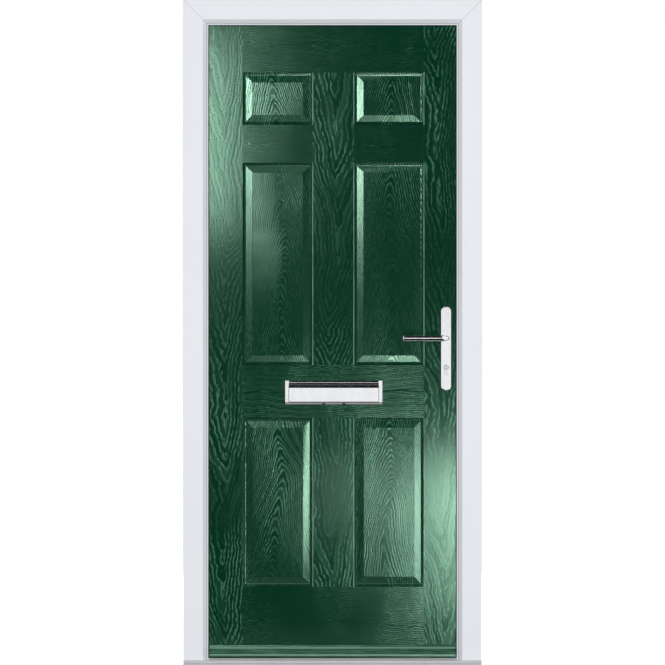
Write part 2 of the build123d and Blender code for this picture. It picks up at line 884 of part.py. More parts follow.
with BuildPart() as plain_skin:
    block((-leaf_x, leaf_front, leaf_bottom), (leaf_x, leaf_front + skin_depth, leaf_top))
    add(skin_hollows, mode=Mode.SUBTRACT)
    add(skin_backing.part, mode=Mode.SUBTRACT)
    cut_handle_holes(leaf_front, skin_depth)
    cut_letter_slot(leaf_front, skin_depth, sleeve_wall + sleeve_space)
    add(handle_bolts, mode=Mode.SUBTRACT)
    add(letter_bolts, mode=Mode.SUBTRACT)

with BuildPart() as outer_skin:
    add(plain_skin.part)
save(outer_skin, "outer_skin")

with BuildPart() as inner_skin:
    add(mirror(plain_skin.part, about=middle_plane, mode=Mode.PRIVATE))
    add(leaf_hinge_screws, mode=Mode.SUBTRACT)
save(inner_skin, "inner_skin")

lock_block_x = stile_x - lock_block_width
lock_block_bottom = plate_centre_height - lock_block_height / 2
lock_block_top = plate_centre_height + lock_block_height / 2

with BuildPart() as insulating_core:
    block((-stile_x, core_front, leaf_bottom + rail_height), (stile_x, core_back, leaf_top - rail_height))
    add(core_hollows, mode=Mode.SUBTRACT)
    add(mirror(core_hollows, about=middle_plane, mode=Mode.PRIVATE), mode=Mode.SUBTRACT)
    block((lock_block_x, core_front, lock_block_bottom), (stile_x, core_back, lock_block_top), Mode.SUBTRACT)
    cut_letter_slot(core_front, core_back - core_front, sleeve_wall + sleeve_space)
    add(letter_bolts, mode=Mode.SUBTRACT)
save(insulating_core, "insulating_core")

with BuildPart() as hinge_stile:
    block((-leaf_x, core_front, leaf_bottom), (-stile_x, core_back, leaf_top))
    add(leaf_hinge_screws, mode=Mode.SUBTRACT)
save(hinge_stile, "hinge_stile")

for label, bottom in (("top_rail", leaf_top - rail_height), ("bottom_rail", leaf_bottom)):
    with BuildPart() as rail:
        block((-stile_x, core_front, bottom), (stile_x, core_back, bottom + rail_height))
    save(rail, label)


def cut_case_pockets():
    """The pockets for the lock case and for the two hook cases, from the edge of the leaf."""
    block((case_x - case_depth, case_low_y, case_bottom), (case_x, case_high_y, case_top), Mode.SUBTRACT)
    for height in hook_heights:
        block(
            (case_x - hook_case_depth, case_low_y, height - hook_case_below),
            (case_x, case_high_y, height + hook_case_above),
            Mode.SUBTRACT,
        )


with BuildPart() as lock_stile:
    block((stile_x, core_front, leaf_bottom), (leaf_x, core_back, leaf_top))
    cut_case_pockets()
    with BuildSketch(Plane.YZ.offset(faceplate_inner_x)):
        with Locations((leaf_middle, (faceplate_bottom + faceplate_top) / 2)):
            SlotOverall(faceplate_top - faceplate_bottom, faceplate_width, rotation=90)
    extrude(amount=faceplate_thickness, mode=Mode.SUBTRACT)
    block(
        (case_x, leaf_middle - rail_width / 2 - sliding_gap, rail_bottom - 1),
        (faceplate_inner_x, leaf_middle + rail_width / 2 + sliding_gap, rail_top + rail_travel + 1),
        Mode.SUBTRACT,
    )
    cut_handle_holes(core_front, core_back - core_front)
    for tool in (faceplate_screws, handle_bolts, cylinder_bolt):
        add(tool, mode=Mode.SUBTRACT)
save(lock_stile, "lock_stile")

with BuildPart() as lock_block:
    block((lock_block_x, core_front, lock_block_bottom), (stile_x, core_back, lock_block_top))
    cut_case_pockets()
    cut_handle_holes(core_front, core_back - core_front)
save(lock_block, "lock_block")

# Weatherbar: a drip moulding across the foot of the leaf
weatherbar_top = weatherbar_bottom + weatherbar_height
weatherbar_half = opening_x - weatherbar_end_gap
nose_y = leaf_front - weatherbar_reach
with BuildPart() as weatherbar:
    with BuildSketch(Plane.YZ.offset(-weatherbar_half)):
        outline(
            [
                (leaf_front, weatherbar_top), (leaf_front - 8, weatherbar_top),
                (leaf_front - 11, weatherbar_top - 8), (leaf_front - 13.5, weatherbar_top - 9),
                (nose_y, weatherbar_bottom + 11), (nose_y, weatherbar_bottom + 4),
                (nose_y + 4, weatherbar_bottom + 4), (nose_y + 4, weatherbar_bottom + 7),
                (nose_y + 7, weatherbar_bottom + 7), (nose_y + 7, weatherbar_bottom + 2),
                (leaf_front, weatherbar_bottom),
            ],
            [0, 3.0, 2.0, 1.0, 3.0, 1.0, 0, 0.5, 0.5, 0.5, 0],
        )
    extrude(amount=2 * weatherbar_half)
save(weatherbar, "weatherbar")

# Lock case: a thin box with windows in its front and bearings in its sides
with BuildPart() as lock_case:
    block((case_x - case_depth, case_low_y, case_bottom), (case_x, case_high_y, case_top))
    block(
        (case_x - case_depth + case_wall, inner_low_y, case_bottom + case_wall),
        (case_x - case_wall, inner_high_y, case_top - case_wall),
        Mode.SUBTRACT,
    )
    for low, high in (latch_span, deadbolt_span):
        block(
            (case_x - 2 * case_wall, bolt_low_y - bolt_gap, low - bolt_gap),
            (case_x + 1, bolt_high_y + bolt_gap, high + bolt_gap),
            Mode.SUBTRACT,
        )
    with BuildSketch(upright(case_low_y)):
        with Locations((spindle_x, spindle_height)):
            Circle(follower_journal_radius + pin_clearance)
        draw_cylinder(cylinder_clearance)
    extrude(amount=-case_thickness, mode=Mode.SUBTRACT)
    add(cylinder_bolt, mode=Mode.SUBTRACT)
save(lock_case, "lock_case")

with BuildPart() as lock_faceplate:
    with BuildSketch(Plane.YZ.offset(faceplate_inner_x)):
        with Locations((leaf_middle, (faceplate_bottom + faceplate_top) / 2)):
            SlotOverall(faceplate_top - faceplate_bottom, faceplate_width, rotation=90)
        draw_windows(bolt_spans, bolt_thickness, bolt_gap)
    extrude(amount=faceplate_thickness)
    add(faceplate_screws, mode=Mode.SUBTRACT)
    add(cylinder_bolt, mode=Mode.SUBTRACT)
save(lock_faceplate, "lock_faceplate")

with BuildPart() as drive_rail:
    with BuildSketch(Plane.YZ.offset(rail_inner_x)):
        with Locations((leaf_middle, (rail_bottom + rail_top) / 2)):
            SlotOverall(rail_top - rail_bottom, rail_width, rotation=90)
        draw_windows([(low - rail_travel, high) for low, high in bolt_spans], bolt_thickness, bolt_gap)
        passing = [(height, wood_screw[1]) for height in faceplate_screw_heights]
        passing += [(cylinder_screw_height, machine_screw[1])]
        for height, radius in passing:
            if rail_bottom < height < rail_top:
                slot_radius = radius + 2 * sliding_gap
                with Locations((leaf_middle, height - rail_travel / 2)):
                    SlotCenterToCenter(rail_travel, 2 * slot_radius, rotation=90, mode=Mode.SUBTRACT)
    extrude(amount=rail_thickness)
save(drive_rail, "drive_rail")

for label, height in zip(("lower", "upper"), hook_heights):
    with BuildPart() as hook_case:
        low, high = height - hook_case_below, height + hook_case_above
        back_x = case_x - hook_case_depth
        block((back_x, case_low_y, low), (case_x, case_high_y, high))
        block(
            (back_x + case_wall, inner_low_y, low + case_wall),
            (case_x + 1, inner_high_y, high - case_wall),
            Mode.SUBTRACT,
        )
        with BuildSketch(upright(case_low_y)):
            with Locations((hook_x, height)):
                Circle(hook_pivot_radius)
        extrude(amount=-case_thickness)
    save(hook_case, label + "_hook_case")

    with BuildPart() as hook:
        with BuildSketch(upright(bolt_low_y)):
            with Locations((hook_x, height)):
                Circle(hook_hub_radius)
            half = hook_width / 2
            outline(
                [
                    (hook_x - half, height), (hook_x + half, height),
                    (hook_x + half, height + hook_reach), (hook_x - hook_claw, height + hook_reach),
                    (hook_x - hook_claw, height + hook_reach - hook_claw_height),
                    (hook_x - half, height + hook_reach - hook_throat),
                ],
                [0, 0, 4.0, 1.0, 1.0, 2.0],
            )
            with Locations((hook_x, height)):
                Circle(hook_pivot_radius + pin_clearance, mode=Mode.SUBTRACT)
        extrude(amount=-bolt_thickness)
    save(hook, label + "_hook")

latch_back_x = bolt_nose_x - latch_throw - latch_guide
with BuildPart() as latch_bolt:
    block(
        (latch_back_x, bolt_low_y, latch_span[0]),
        (bolt_nose_x, bolt_high_y, latch_span[1]),
    )
    with BuildSketch(Plane.XY.offset(latch_span[0])):
        Polygon(
            (bolt_nose_x - latch_throw, bolt_low_y - 1),
            (bolt_nose_x + 1, bolt_low_y - 1),
            (bolt_nose_x + 1, bolt_high_y - latch_nose),
            (bolt_nose_x, bolt_high_y - latch_nose),
            (bolt_nose_x - latch_throw, bolt_low_y),
            align=None,
        )
    extrude(amount=latch_height, mode=Mode.SUBTRACT)
    tail_radius, tail_length = latch_tail
    with BuildSketch(Plane.YZ.offset(latch_back_x)):
        with Locations((leaf_middle, latch_centre)):
            Circle(tail_radius)
    extrude(amount=-tail_length)
save(latch_bolt, "latch_bolt")

deadbolt_back_x = bolt_nose_x - deadbolt_throw - deadbolt_guide
with BuildPart() as deadbolt:
    block(
        (deadbolt_back_x, bolt_low_y, deadbolt_span[0]),
        (bolt_nose_x, bolt_high_y, deadbolt_span[1]),
    )
    fillet(deadbolt.edges().filter_by(Axis.Z).sort_by(Axis.X)[-2:], deadbolt_round)
    length, thickness, height = deadbolt_tail
    block(
        (deadbolt_back_x - length, leaf_middle - thickness / 2, deadbolt_centre - height / 2),
        (deadbolt_back_x, leaf_middle + thickness / 2, deadbolt_centre + height / 2),
    )
save(deadbolt, "deadbolt")

with BuildPart() as leaf_screws:
    add(leaf_hinge_screws)
    add(faceplate_screws)
save(leaf_screws, "leaf_screws")

with BuildPart() as cylinder_screw:
    add(cylinder_bolt)
save(cylinder_screw, "cylinder_screw")

with BuildPart() as handle_screws:
    add(handle_bolts)
save(handle_screws, "handle_screws")

with BuildPart() as letterplate_screws:
    add(letter_bolts)
save(letterplate_screws, "letterplate_screws")

# Cylinder: one keyhole-shaped body, cut across for the cam, with a plug in each end
plate_front = leaf_front - plate_depth
plate_back = leaf_back + plate_depth
cylinder_front = plate_front - cylinder_proud
cylinder_back = plate_back + cylinder_proud
with BuildPart() as cylinder_body:
    with BuildSketch(upright(cylinder_front)):
        draw_cylinder()
        with Locations((spindle_x, cylinder_height)):
            Circle(plug_radius + pin_clearance, mode=Mode.SUBTRACT)
    extrude(amount=cylinder_front - cylinder_back)
    block(
        (spindle_x - cylinder_radius - 1, leaf_middle - cam_slot_width / 2, cylinder_height - cam_reach - 1),
        (
            spindle_x + cylinder_radius + 1,
            leaf_middle + cam_slot_width / 2,
            cylinder_height + cylinder_radius + 1,
        ),
        Mode.SUBTRACT,
    )
    add(cylinder_bolt, mode=Mode.SUBTRACT)
save(cylinder_body, "cylinder_body")

cam_low_y = leaf_middle - cam_width / 2
cam_high_y = leaf_middle + cam_width / 2
with BuildPart() as cylinder_plugs:
    for mouth, end in ((cylinder_front, cam_low_y), (cylinder_back, cam_high_y)):
        inward = 1 if end > mouth else -1
        with BuildSketch(upright(mouth)):
            with Locations((spindle_x, cylinder_height)):
                Circle(plug_radius)
        extrude(amount=mouth - end)
        with BuildSketch(upright(mouth)):
            with Locations((spindle_x, cylinder_height)):
                Rectangle(keyway_width, keyway_height)
        extrude(amount=-inward * keyway_depth, mode=Mode.SUBTRACT)
save(cylinder_plugs, "cylinder_plugs")

with BuildPart() as cylinder_cam:
    with BuildSketch(upright(cam_low_y)):
        with Locations((spindle_x, cylinder_height)):
            Circle(cylinder_radius)
        with Locations((spindle_x, cylinder_height + cam_reach / 2)):
            Rectangle(cylinder_tail_width - 2, cam_reach)
    extrude(amount=-cam_width)
save(cylinder_cam, "cylinder_cam")

# Handle: a hollow cast backplate each side, a bent lever in each, and a square spindle between
def backplate():
    """The outside backplate: a rounded shell with bosses behind the screws and round the bearings."""
    with BuildPart() as plate:
        with BuildSketch(upright(leaf_front)):
            with Locations((spindle_x, plate_centre_height)):
                SlotOverall(plate_length, plate_width, rotation=90)
        extrude(amount=plate_depth)
        fillet(plate.faces().sort_by(Axis.Y)[0].edges(), plate_rim)
        with BuildSketch(upright(leaf_front)):
            with Locations((spindle_x, plate_centre_height)):
                SlotOverall(plate_length - 2 * plate_wall, plate_width - 2 * plate_wall, rotation=90)
            for height in plate_ends:
                with Locations((spindle_x, height)):
                    Circle(machine_screw[0] + plate_wall / 2, mode=Mode.SUBTRACT)
            with Locations((spindle_x, spindle_height)):
                Circle(lever_journal_radius + plate_wall, mode=Mode.SUBTRACT)
            draw_cylinder(plate_wall, mode=Mode.SUBTRACT)
        extrude(amount=plate_depth - plate_wall, mode=Mode.SUBTRACT)
        with BuildSketch(upright(leaf_front)):
            with Locations((spindle_x, spindle_height)):
                Circle(lever_journal_radius + pin_clearance)
            draw_cylinder(cylinder_clearance)
        extrude(amount=plate_depth, mode=Mode.SUBTRACT)
        add(handle_bolts, mode=Mode.SUBTRACT)
    return plate.part


def lever():
    """The outside lever: a collar on the plate, a neck, a bend and a straight round grip."""
    journal_end = leaf_front - plate_wall
    with BuildPart() as handle:
        with BuildLine(Plane.XY.offset(spindle_height)) as path:
            FilletPolyline(
                (spindle_x, plate_front - bolt_gap),
                (spindle_x, leaf_front - lever_stand_off),
                (spindle_x - lever_length, leaf_front - lever_stand_off),
                radius=lever_bend_radius,
            )
        with BuildSketch(Plane(origin=path.line @ 0, z_dir=path.line % 0)):
            Circle(lever_radius)
        sweep()
        tip = handle.faces().sort_by(Axis.X)[0]
        fillet(tip.edges(), lever_tip_round)
        with BuildSketch(upright(plate_front - bolt_gap)):
            with Locations((spindle_x, spindle_height)):
                Circle(lever_collar_radius)
        extrude(amount=lever_collar_depth)
        with BuildSketch(upright(plate_front - bolt_gap)):
            with Locations((spindle_x, spindle_height)):
                Circle(lever_journal_radius)
        extrude(amount=plate_front - bolt_gap - journal_end)
        with BuildSketch(upright(journal_end)):
            with Locations((spindle_x, spindle_height)):
                Rectangle(spindle_size, spindle_size)
        extrude(amount=spindle_entry, mode=Mode.SUBTRACT)
    return handle.part


plain_plate = backplate()
plain_lever = lever()

with BuildPart() as outer_backplate:
    add(plain_plate)
save(outer_backplate, "outer_backplate")

with BuildPart() as inner_backplate:
    add(mirror(plain_plate, about=middle_plane, mode=Mode.PRIVATE))
    add(handle_bolts, mode=Mode.SUBTRACT)
save(inner_backplate, "inner_backplate")

with BuildPart() as outer_lever:
    add(plain_lever)
save(outer_lever, "outer_lever")

with BuildPart() as inner_lever:
    add(mirror(plain_lever, about=middle_plane, mode=Mode.PRIVATE))
save(inner_lever, "inner_lever")

spindle_front = leaf_front - plate_wall - spindle_entry
with BuildPart() as spindle:
    with BuildSketch(upright(spindle_front)):
        with Locations((spindle_x, spindle_height)):
            Rectangle(spindle_size, spindle_size)
    extrude(amount=-2 * (leaf_middle - spindle_front))
save(spindle, "spindle")

with BuildPart() as follower:
    with BuildSketch(upright(inner_low_y + bolt_gap)):
        with Locations((spindle_x, spindle_height)):
            Circle(follower_radius)
        with Locations((spindle_x, spindle_height + follower_arm_reach / 2)):
            Rectangle(follower_arm_width, follower_arm_reach)
    extrude(amount=-(case_thickness - 2 * case_wall - 2 * bolt_gap))
    with BuildSketch(upright(case_low_y)):
        with Locations((spindle_x, spindle_height)):
            Circle(follower_journal_radius)
    extrude(amount=-case_thickness)
    with BuildSketch(upright(case_low_y)):
        with Locations((spindle_x, spindle_height)):
            Rectangle(spindle_size, spindle_size)
    extrude(amount=-case_thickness, mode=Mode.SUBTRACT)
save(follower, "follower")

# Letterplate: a frame with a rolled top each side of the door, a sleeve between, a flap in each
def letterplate_frame():
    """The outside frame: side bars, a bottom bar, a rolled top and a ledge behind the flap."""
    with BuildPart() as frame:
        with BuildSketch(upright(leaf_front)):
            with Locations((letterplate_x, letterplate_centre)):
                RectangleRounded(letterplate_width, letterplate_rise, letterplate_corner)
        extrude(amount=letterplate_depth)
        fillet(frame.faces().sort_by(Axis.Y)[0].edges(), letterplate_rim)
        pocket_back = letter_front + flap_set_back + flap_thickness + flap_back_gap
        block(
            (letterplate_x - pocket_half, letter_front - 1, pocket_bottom),
            (letterplate_x + pocket_half, pocket_back, letterplate_top + 1),
            Mode.SUBTRACT,
        )
        block(
            (letterplate_x - pocket_half, letter_front - 1, flap_top - letterplate_rim),
            (letterplate_x + pocket_half, leaf_front + 1, letterplate_top + 1),
            Mode.SUBTRACT,
        )
        with BuildSketch(Plane.YZ.offset(letterplate_x - pocket_half)):
            with Locations((letter_front + roll_radius, roll_height)):
                Circle(roll_radius)
            with Locations((leaf_front + roll_radius, roll_height)):
                Rectangle(2 * roll_radius, 2 * roll_radius + 2, mode=Mode.SUBTRACT)
        extrude(amount=2 * pocket_half)
        cut_letter_slot(letter_front, letterplate_depth, 0)
        with BuildSketch(Plane.YZ.offset(letterplate_x - pocket_half - letterplate_side / 2)):
            with Locations((flap_axis_y, flap_axis_height)):
                Circle(flap_pin_radius)
        extrude(amount=2 * pocket_half + letterplate_side, mode=Mode.SUBTRACT)
        add(letter_bolts, mode=Mode.SUBTRACT)
    return frame.part


def letter_flap():
    """The outside flap: a plate with softened edges under a barrel for its pin."""
    face = letter_front + flap_set_back
    half = pocket_half - flap_gap
    with BuildPart() as flap:
        with BuildSketch(Plane.YZ.offset(letterplate_x - half)):
            outline(
                [
                    (face, flap_bottom), (face, flap_top),
                    (flap_axis_y - flap_barrel_radius * 0.9, flap_axis_height + flap_barrel_radius * 0.4),
                    (flap_axis_y - flap_barrel_radius * 0.3, flap_axis_height - flap_barrel_radius * 0.9),
                    (face + flap_thickness, flap_top - 1), (face + flap_thickness, flap_bottom),
                ],
                [1.2, 1.0, 0, 0, 0, 0.5],
            )
            with Locations((flap_axis_y, flap_axis_height)):
                Circle(flap_barrel_radius)
                Circle(flap_pin_radius + pin_clearance, mode=Mode.SUBTRACT)
        extrude(amount=2 * half)
    return flap.part


plain_letter_frame = letterplate_frame()
plain_flap = letter_flap()

with BuildPart() as letterplate_outer_frame:
    add(plain_letter_frame)
    for side in (-1, 1):
        with BuildSketch(upright(leaf_front)):
            with Locations((letterplate_x + side * notch_spacing / 2, letterplate_bottom)):
                Circle(notch_width / 2)
        extrude(amount=letterplate_depth, mode=Mode.SUBTRACT)
save(letterplate_outer_frame, "letterplate_outer_frame")

with BuildPart() as letterplate_inner_frame:
    add(mirror(plain_letter_frame, about=middle_plane, mode=Mode.PRIVATE))
    add(letter_bolts, mode=Mode.SUBTRACT)
save(letterplate_inner_frame, "letterplate_inner_frame")

with BuildPart() as outer_flap:
    add(plain_flap)
save(outer_flap, "outer_flap")

with BuildPart() as inner_flap:
    add(mirror(plain_flap, about=middle_plane, mode=Mode.PRIVATE))
save(inner_flap, "inner_flap")

with BuildPart() as flap_pins:
    for depth in (flap_axis_y, 2 * leaf_middle - flap_axis_y):
        with BuildSketch(Plane.YZ.offset(letterplate_x - pocket_half - letterplate_side / 2)):
            with Locations((depth, flap_axis_height)):
                Circle(flap_pin_radius)
        extrude(amount=2 * pocket_half + letterplate_side)
save(flap_pins, "flap_pins")

with BuildPart() as letterplate_sleeve:
    with BuildSketch(upright(leaf_front)):
        with Locations((letterplate_x, slot_middle)):
            Rectangle(slot_width + 2 * sleeve_wall, slot_height + 2 * sleeve_wall)
            Rectangle(slot_width, slot_height, mode=Mode.SUBTRACT)
    extrude(amount=-leaf_thickness)
save(letterplate_sleeve, "letterplate_sleeve")
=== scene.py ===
import math

import bpy
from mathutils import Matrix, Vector


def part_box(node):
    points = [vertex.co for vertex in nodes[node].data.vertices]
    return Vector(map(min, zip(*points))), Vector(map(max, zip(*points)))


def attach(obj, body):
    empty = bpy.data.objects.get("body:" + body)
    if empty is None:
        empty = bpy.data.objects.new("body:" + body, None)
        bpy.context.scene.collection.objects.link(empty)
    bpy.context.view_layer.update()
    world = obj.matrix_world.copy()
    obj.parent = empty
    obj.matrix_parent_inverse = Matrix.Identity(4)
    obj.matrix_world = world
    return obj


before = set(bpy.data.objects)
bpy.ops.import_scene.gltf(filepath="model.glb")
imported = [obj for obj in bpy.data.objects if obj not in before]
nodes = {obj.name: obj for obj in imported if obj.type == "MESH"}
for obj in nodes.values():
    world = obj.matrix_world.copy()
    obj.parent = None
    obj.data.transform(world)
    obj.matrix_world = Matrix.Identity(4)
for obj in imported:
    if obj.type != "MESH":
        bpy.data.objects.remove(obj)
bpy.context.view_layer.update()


# The leaf's layout, in metres, as the moulded skins have it
leaf_low, leaf_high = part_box("outer_skin")
stile_edges = (-0.2835, 0.2885)  # where the stiles end and the rails begin
mullion_edges = (-0.0625, 0.0675)
panel_rows = ((0.250, 0.78227), (0.94927, 1.588), (1.708, 1.873))
lock_rail = (panel_rows[0][1], panel_rows[1][0])
weatherbar_ridges = (0.0578, 0.0365)  # the heights of its two fine ridges

# The frame and its seal, in metres
outer_corner = Vector(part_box("frame_head")[1])
lip_depth = 0.014  # of the frame's lip behind its face, which is drawn grey
seal_side = 0.3925  # from the door's middle to where the seal's lip starts, just inside the jambs
seal_sunk = 0.0005  # how far the seal's lip is let into the head
seal_profile = (  # reach into the opening, and depth behind the frame's face
    (0.0, 0.0160), (0.0022, 0.0164), (0.0031, 0.0180),
    (0.0028, 0.0200), (0.0012, 0.0222), (0.0, 0.0232),
)

# The moulded grain; a pitch is in waves to the metre, across and along the board
panel_heart, stile_heart = 0.015, 0.004  # the round top of an arch, in metres; a rail's is the stile's
panel_climb, stile_climb = 42.0, -15.0  # how fast the arches follow each other, up or down
heart_sway = 0.05  # how far the heart wanders to either side, in metres
sway_pitch, sway_seed = 3.0, 7.5
panel_lines, stile_lines, rail_lines = 150.0, 76.0, 170.0  # to the metre
panel_relief, stile_relief, rail_relief = 1.0, 0.3, 0.8
rail_flames, lock_rail_flames = 0.25, 1.0  # how strong the open flames are on the rails
broad_pitch, broad_shift = (3.0, 1.5), 20.0  # noises that shift the lines, and by how many lines
wavy_pitch, wavy_shift = (60.0, 26.0), 0.6
jagged_pitch, jagged_shift = (18.0, 30.0), 1.2
fibre_pitch, panel_fray, stile_fray = (240.0, 50.0), 0.5, 0.7  # a rail's fray is the stile's
fibre_depth = 0.00022
column_seed_step, panel_seed_step, rail_seed_step = 3.7, 2.3, 5.1

# The grain, and the painted sheen of its pale marks on the green skin, show most near the head and the
# foot of the leaf, and fade over these heights
faint_grain = 0.1
head_grain, head_fade = 0.85, (1.25, 1.85)
foot_grain, foot_fade = 0.8, (0.75, 1.15)

# Fine lines and joints, painted highlights and painted shade, in metres: how far they are at full
# strength, and where they end
edge_highlight_line, ridge_highlight_line = (0.0006, 0.0022), (0.0008, 0.0028)
mitre_line, lip_line = (0.0007, 0.0018), (0.0004, 0.0012)
flap_joint_shade, plug_joint_shade = (0.0006, 0.0024), (0.0003, 0.0010)

# The gloss of the green paint, and the roughness and the fine marks of the chrome
green_gloss = (0.60, 1.0, 0.75, 1.0)
green_specular = 0.12
chrome_gloss, handled_gloss = (0.06, 0.14), (0.08, 0.16)
chrome_pitch, chrome_depth = (60.0, 60.0, 60.0), 0.0000015

white = (1.0, 1.0, 1.0, 1.0)


# Shader nodes
class Shader:
    """A node tree that is being built, with short calls for its nodes."""

    def __init__(self, tree):
        self.tree = tree
        tree.nodes.clear()

    def put(self, socket, value):
        if isinstance(value, bpy.types.NodeSocket):
            self.tree.links.new(value, socket)
        else:
            socket.default_value = value

    def add(self, kind, inputs=None, **settings):
        node = self.tree.nodes.new(kind)
        for name, value in settings.items():
            setattr(node, name, value)
        for name, value in (inputs or {}).items():
            self.put(node.inputs[name], value)
        return node

    def math(self, operation, *values):
        node = self.add("ShaderNodeMath", operation=operation)
        for socket, value in zip(node.inputs, values):
            self.put(socket, value)
        return node.outputs[0]

    def vector(self, x, y, z):
        return self.add("ShaderNodeCombineXYZ", {0: x, 1: y, 2: z}).outputs[0]

    def noise(self, vector, detail=3.0, roughness=0.5, distortion=0.0):
        inputs = {"Vector": vector, "Scale": 1.0, "Detail": detail,
                  "Roughness": roughness, "Distortion": distortion}
        return self.add("ShaderNodeTexNoise", inputs).outputs[0]

    def fade(self, value, start, end, low=0.0, high=1.0):
        """A smooth change from low to high while value goes from start to end."""
        inputs = {"Value": value, "From Min": start, "From Max": end, "To Min": low, "To Max": high}
        return self.add("ShaderNodeMapRange", inputs, interpolation_type="SMOOTHSTEP").outputs[0]

    def off(self, value, place):
        """How far value is from place, to either side."""
        return self.math("ABSOLUTE", self.math("SUBTRACT", value, place))

    def fine_line(self, distance, reach, strength=1.0):
        """The strength up to the first distance in reach, fading to 0 at the second."""
        return self.fade(distance, *reach, strength, 0.0)

    def between(self, value, low, high):
        """1 where value lies between low and high, and 0 elsewhere."""
        above = self.math("GREATER_THAN", value, low)
        return self.math("MULTIPLY", above, self.math("LESS_THAN", value, high))

    def choose(self, share, one, other):
        """The number one where share is 0 and other where it is 1."""
        node = self.add("ShaderNodeMix", {0: share, 2: one, 3: other}, data_type="FLOAT")
        return node.outputs[0]

    def blend(self, share, one, other):
        """A colour between one and other."""
        node = self.add("ShaderNodeMix", {0: share, 6: one, 7: other}, data_type="RGBA")
        return node.outputs[2]

    def seen_share(self):
        """1 for rays from the camera, and for reflections and refractions."""
        path = self.add("ShaderNodeLightPath")
        share = self.math("MAXIMUM", path.outputs["Is Camera Ray"], path.outputs["Is Glossy Ray"])
        return self.math("MAXIMUM", share, path.outputs["Is Transmission Ray"])

    def end(self, shader, output="ShaderNodeOutputMaterial"):
        self.add(output, {"Surface": shader.outputs[0]})


class Finish(Shader):
    """A material that is being built."""

    def __init__(self, name):
        self.material = bpy.data.materials.new(name)
        self.material.use_nodes = True
        super().__init__(self.material.node_tree)
        self.place = self.add("ShaderNodeTexCoord").outputs["Object"]

    def axes(self):
        return self.add("ShaderNodeSeparateXYZ", {0: self.place}).outputs

    def stretched(self, pitch):
        """The place on the object, with each axis multiplied."""
        node = self.add("ShaderNodeVectorMath", {0: self.place, 1: pitch}, operation="MULTIPLY")
        return node.outputs[0]

    def cloud(self, pitch, detail=3.0, distortion=0.0):
        """Noise over the object, with a pitch in waves to the metre for each axis."""
        return self.noise(self.stretched(pitch), detail, distortion=distortion)

    def marked(self, pitch, gloss):
        """Fine marks over the object, and a roughness that changes with them."""
        marks = self.cloud(pitch, detail=4.0)
        return marks, self.fade(marks, 0.3, 0.7, *gloss)

    def bump(self, height, distance, under=None):
        inputs = {"Height": height, "Distance": distance, "Strength": 1.0}
        if under is not None:
            inputs["Normal"] = under
        return self.add("ShaderNodeBump", inputs).outputs[0]

    def surface(self, **sockets):
        """Ends the material with a principled shader; a socket's name has _ for each space."""
        inputs = {name.replace("_", " "): value for name, value in sockets.items()}
        self.end(self.add("ShaderNodeBsdfPrincipled", inputs))
        return self.material


def colour(red, green, blue):
    """A colour as a picture holds it, 0 to 255, turned into light."""
    parts = [value / 255 for value in (red, green, blue)]
    return (*[v / 12.92 if v <= 0.04045 else ((v + 0.055) / 1.055) ** 2.4 for v in parts], 1.0)


# Wood grain moulded into the skins
def section_of(finish, value, edges, low, high):
    """The middle of the section that value is in, and the section's number."""
    bounds = [low, *edges, high]
    middles = [(a + b) / 2 for a, b in zip(bounds, bounds[1:])]
    middle, number = middles[0], 0.0
    for index, edge in enumerate(edges):
        step = finish.math("GREATER_THAN", value, edge)
        middle = finish.math("MULTIPLY_ADD", step, middles[index + 1] - middles[index], middle)
        number = finish.math("ADD", step, number)
    return middle, number


def in_panel_rows(finish, z):
    share = 0.0
    for row in panel_rows:
        share = finish.math("MAXIMUM", share, finish.between(z, *row))
    return share


def board(finish):
    """How a place lies on its board: upright or level, off its middle, along it, in a panel, and its seed.

    Stiles, mullion and panels are upright boards, and the rails are level ones.
    """
    x, _, z = finish.axes()
    in_row = in_panel_rows(finish, z)
    beside_lock_rail = finish.math("MAXIMUM", finish.between(z, *panel_rows[0]),
                                   finish.between(z, panel_rows[1][0], panel_rows[2][1]))
    on_mullion = finish.between(x, *mullion_edges)
    on_stile = finish.math("SUBTRACT", 1.0, finish.between(x, *stile_edges))
    upright = finish.math("MAXIMUM", finish.math("MULTIPLY", on_mullion, beside_lock_rail), on_stile)
    upright = finish.math("MAXIMUM", in_row, upright)
    in_panel = finish.math("MULTIPLY", finish.math("SUBTRACT", 1.0, on_stile), in_row)
    in_panel = finish.math("MULTIPLY", in_panel, finish.math("SUBTRACT", 1.0, on_mullion))

    columns = (stile_edges[0], *mullion_edges, stile_edges[1])
    column, column_number = section_of(finish, x, columns, leaf_low[0], leaf_high[0])
    levels = sorted(edge for row in panel_rows for edge in row)
    level, level_number = section_of(finish, z, levels, leaf_low[2], leaf_high[2])
    across = finish.choose(upright, finish.math("SUBTRACT", z, level), finish.math("SUBTRACT", x, column))
    along = finish.choose(upright, x, z)

    column_seed = finish.math("MULTIPLY", column_number, column_seed_step)
    panel_number = finish.math("MULTIPLY", in_panel, level_number)
    upright_seed = finish.math("MULTIPLY_ADD", panel_number, panel_seed_step, column_seed)
    rail_seed = finish.math("MULTIPLY", level_number, rail_seed_step)
    seed = finish.choose(upright, rail_seed, upright_seed)
    return upright, across, along, in_panel, seed


